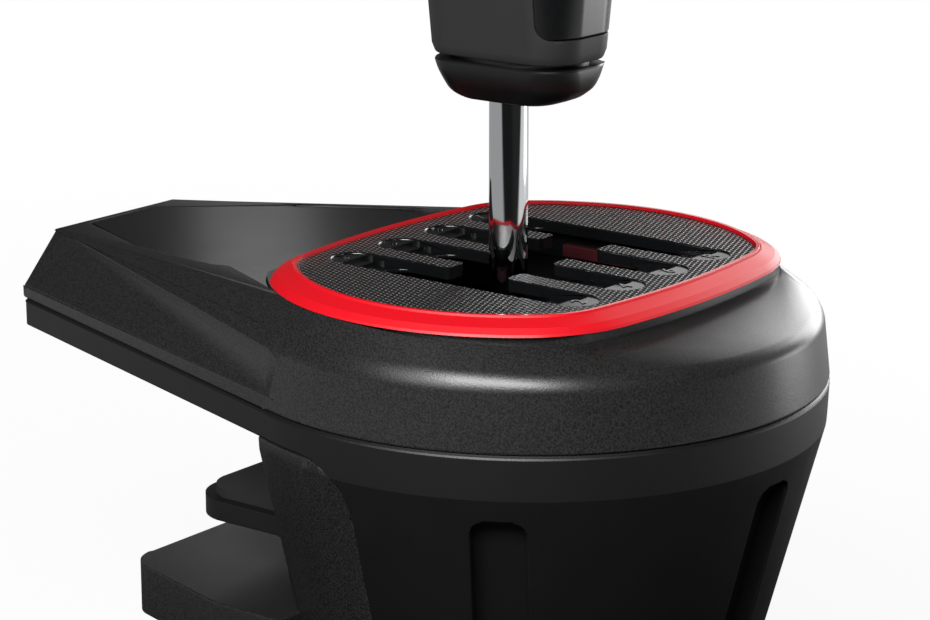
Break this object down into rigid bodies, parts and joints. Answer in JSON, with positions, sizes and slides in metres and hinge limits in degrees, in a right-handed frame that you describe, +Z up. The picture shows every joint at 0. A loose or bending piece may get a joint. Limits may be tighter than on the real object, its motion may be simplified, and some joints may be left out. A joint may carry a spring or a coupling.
{
  "type": "gear shifter",
  "caption": "Clamp-on gear shifter: chrome lever with a contoured knob in a numbered H-pattern gate with a red ring, on a tapered round housing with a tongue and a screw clamp.",
  "frame": {"origin": "middle of the flat base, on the axis of the round housing", "axes": "+Z up along the housing's axis, +Y forward along the tongue over the clamp, +X to the driver's right"},
  "size_m": [0.1556, 0.2338, 0.2898],
  "materials": {
    "charcoal_plastic": "fine-grained moulded plastic, charcoal",
    "black_plastic": "moulded plastic, black",
    "gloss_black": "polished moulded plastic, black",
    "red_trim": "satin moulded plastic, red",
    "chrome_rod": "polished chrome plate on steel bar",
    "zinc_steel": "zinc-plated steel",
    "brass": "turned brass",
    "rubber": "moulded rubber, black",
    "circuit_board": "green lacquered circuit board",
    "soft_grip": "soft-touch lacquered plastic, charcoal"
  },
  "bodies": {
    "housing": {"upper_casing": "charcoal_plastic", "lower_casing": "black_plastic", "tongue_panel": "gloss_black", "trim_ring": "red_trim", "gate_plate": "black_plastic", "gate_tray": "gloss_black", "gate_buffers": "red_trim", "gate_screws": "zinc_steel", "case_screws": "zinc_steel", "clamp_frame": "charcoal_plastic", "frame_screws": "zinc_steel", "clamp_nut": "brass", "seat_pad": "rubber", "base_plate": "black_plastic", "base_inserts": "brass", "base_screws": "zinc_steel", "pivot_frame": "zinc_steel", "pivot_screws": "zinc_steel", "select_bushes": "brass", "centring_spring": "zinc_steel", "sensor_board": "circuit_board", "hall_sensor": "gloss_black", "control_board": "circuit_board", "board_screws": "zinc_steel", "data_socket": "gloss_black"},
    "cradle_body": {"cradle": "charcoal_plastic", "select_shafts": "zinc_steel", "engage_bushes": "brass", "spring_arm": "zinc_steel"},
    "lever_body": {"lever_hub": "charcoal_plastic", "engage_pin": "zinc_steel", "lever_magnet": "zinc_steel", "lever_rod": "chrome_rod", "rod_screw": "zinc_steel", "knob_collar": "soft_grip", "knob_grip": "soft_grip", "knob_panel": "gloss_black", "knob_insert": "brass", "knob_cap": "gloss_black"},
    "shoe_body": {"clamp_shoe": "charcoal_plastic", "shoe_pad": "rubber", "shoe_clip": "zinc_steel"},
    "screw_body": {"clamp_screw": "zinc_steel", "handwheel": "black_plastic", "wheel_pin": "zinc_steel"}
  },
  "joints": [
    {"name": "select_tilt", "type": "hinge", "parent": "housing", "child": "cradle_body", "pos_m": [-0.0098, 0, 0.055], "axis": [0, 1, 0], "range_deg": [-10.7, 20.7], "stiffness_Nm_per_rad": 4, "deforming": ["centring_spring"]},
    {"name": "engage_tilt", "type": "hinge", "parent": "cradle_body", "child": "lever_body", "pos_m": [-0.0098, 0, 0.055], "axis": [1, 0, 0], "range_deg": [-10.1, 10.1]},
    {"name": "shoe_slide", "type": "slide", "parent": "housing", "child": "shoe_body", "axis": [0, 0, 1], "range_m": [-0.012, 0.021]},
    {"name": "screw_turn", "type": "hinge", "parent": "shoe_body", "child": "screw_body", "pos_m": [0, 0.062, 0.05], "axis": [0, 0, 1], "range_deg": [-1440, 2520]}
  ],
  "couplings": [
    {"joint": "shoe_slide", "follows": "screw_turn", "m_per_rad": 0.00047746}
  ]
}
